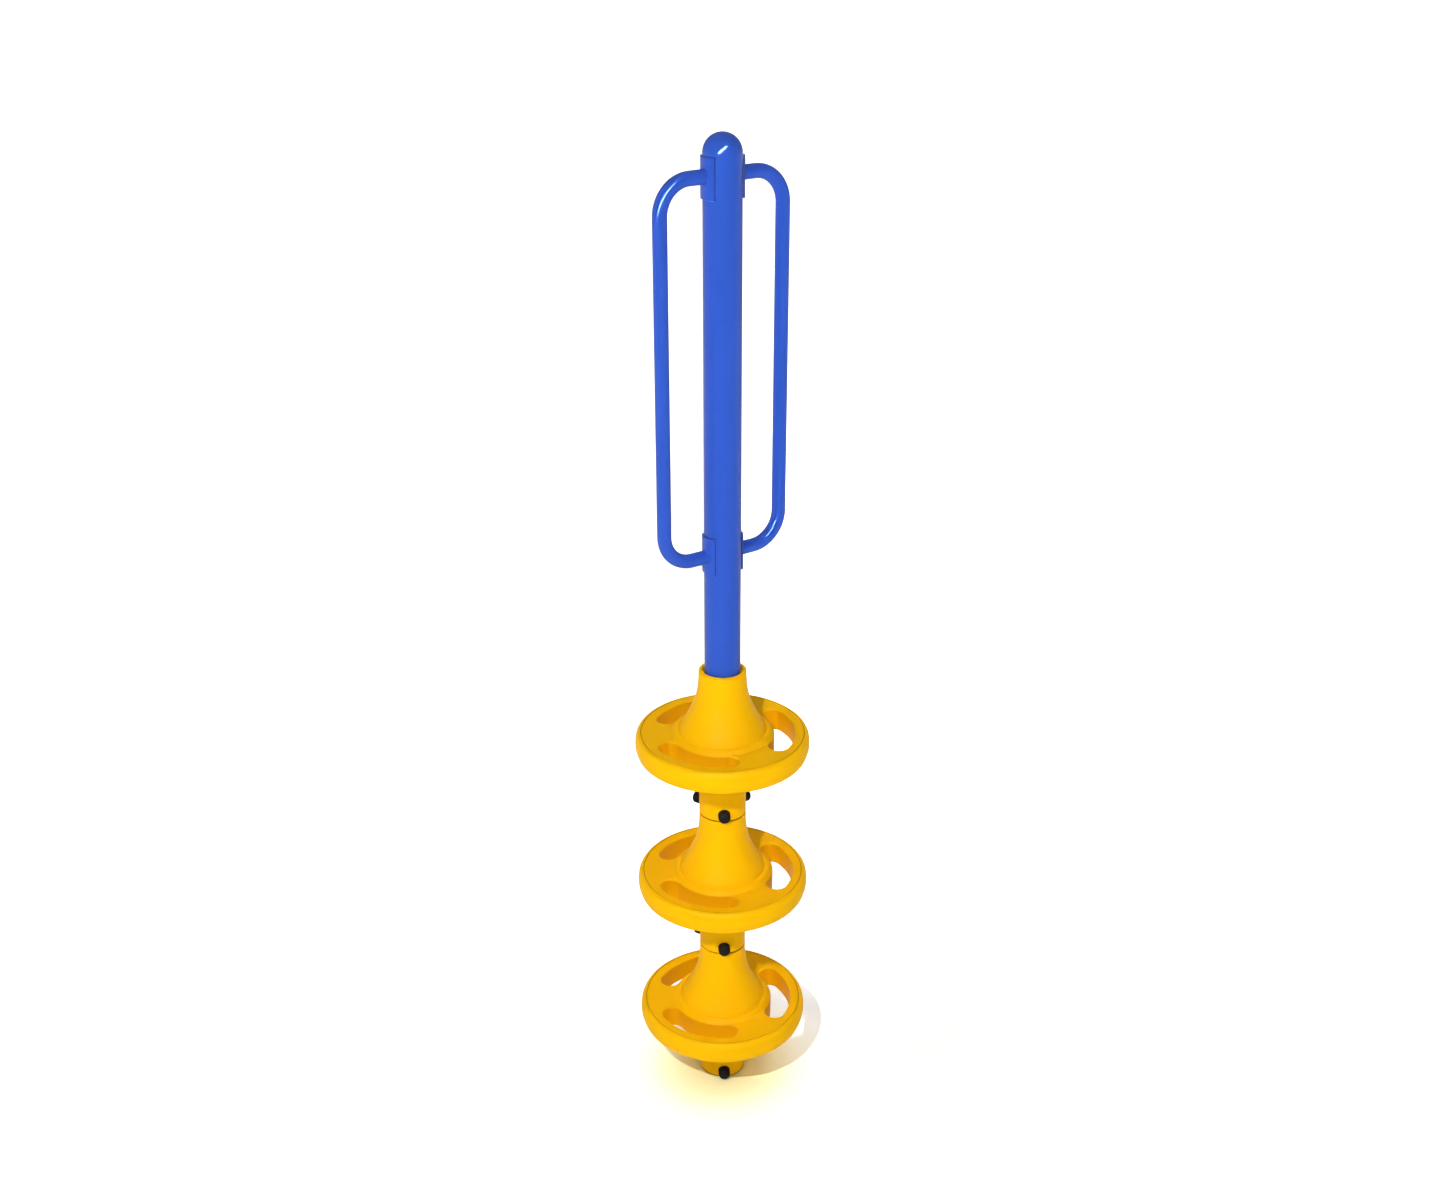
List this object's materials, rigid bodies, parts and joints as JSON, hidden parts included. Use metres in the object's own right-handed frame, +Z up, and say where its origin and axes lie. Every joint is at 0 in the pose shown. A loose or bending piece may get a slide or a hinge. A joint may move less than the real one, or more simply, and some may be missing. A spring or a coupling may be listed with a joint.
{
  "type": "playground merry go round",
  "caption": "Standing playground spinner: a pole with bent-tube handles and stacked round step pods, turning on a post set in the ground.",
  "frame": {"origin": "on the spin axis at ground level, where the support post leaves the ground", "axes": "+Z up along the spin axis; X along the line through both handles; the deck slots face +Y, and 120 degrees to each side of it"},
  "size_m": [0.433, 0.4306, 3.0898],
  "materials": {
    "blue_powder_coat": "gloss powder coat",
    "yellow_plastic": "satin moulded",
    "black_plastic": "satin moulded",
    "galvanised_steel": "hot-dip galvanised",
    "bearing_steel": "ground",
    "zinc_fastener": "zinc plated",
    "bush_plastic": "machined",
    "seal_rubber": "matt"
  },
  "bodies": {
    "ground_post": {"anchor_plate": "galvanised_steel", "support_post": "galvanised_steel", "bearing_spindle": "bearing_steel", "bearing_inner_ring": "bearing_steel", "spindle_washer": "zinc_fastener", "spindle_nut": "zinc_fastener"},
    "rotor": {"bearing_outer_ring": "bearing_steel", "bearing_carrier": "bearing_steel", "bearing_retaining_ring": "zinc_fastener", "lower_bush": "bush_plastic", "dust_seal": "seal_rubber", "pole_tube": "blue_powder_coat", "pole_dome_cap": "blue_powder_coat", "handle_left": "blue_powder_coat", "handle_right": "blue_powder_coat", "saddle_left_top": "blue_powder_coat", "saddle_left_bottom": "blue_powder_coat", "saddle_right_top": "blue_powder_coat", "saddle_right_bottom": "blue_powder_coat", "pod_lower": "yellow_plastic", "pod_middle": "yellow_plastic", "pod_upper": "yellow_plastic", "pod_bolt_1_1": "zinc_fastener", "bolt_cap_1_1": "black_plastic", "pod_bolt_1_2": "zinc_fastener", "bolt_cap_1_2": "black_plastic", "pod_bolt_1_3": "zinc_fastener", "bolt_cap_1_3": "black_plastic", "pod_bolt_2_1": "zinc_fastener", "bolt_cap_2_1": "black_plastic", "pod_bolt_2_2": "zinc_fastener", "bolt_cap_2_2": "black_plastic", "pod_bolt_2_3": "zinc_fastener", "bolt_cap_2_3": "black_plastic", "pod_bolt_3_1": "zinc_fastener", "bolt_cap_3_1": "black_plastic", "pod_bolt_3_2": "zinc_fastener", "bolt_cap_3_2": "black_plastic", "pod_bolt_3_3": "zinc_fastener", "bolt_cap_3_3": "black_plastic"},
    "ball_cage": {"bearing_ball_cage": "bearing_steel"}
  },
  "joints": [
    {"name": "rotor_spin", "type": "hinge", "parent": "ground_post", "child": "rotor", "pos_m": [0, 0, 1.18], "axis": [0, 0, 1], "continuous": true},
    {"name": "ball_cage_spin", "type": "hinge", "parent": "ground_post", "child": "ball_cage", "pos_m": [0, 0, 1.18], "axis": [0, 0, 1], "continuous": true}
  ],
  "couplings": [
    {"joint": "ball_cage_spin", "follows": "rotor_spin", "ratio": 0.604}
  ]
}
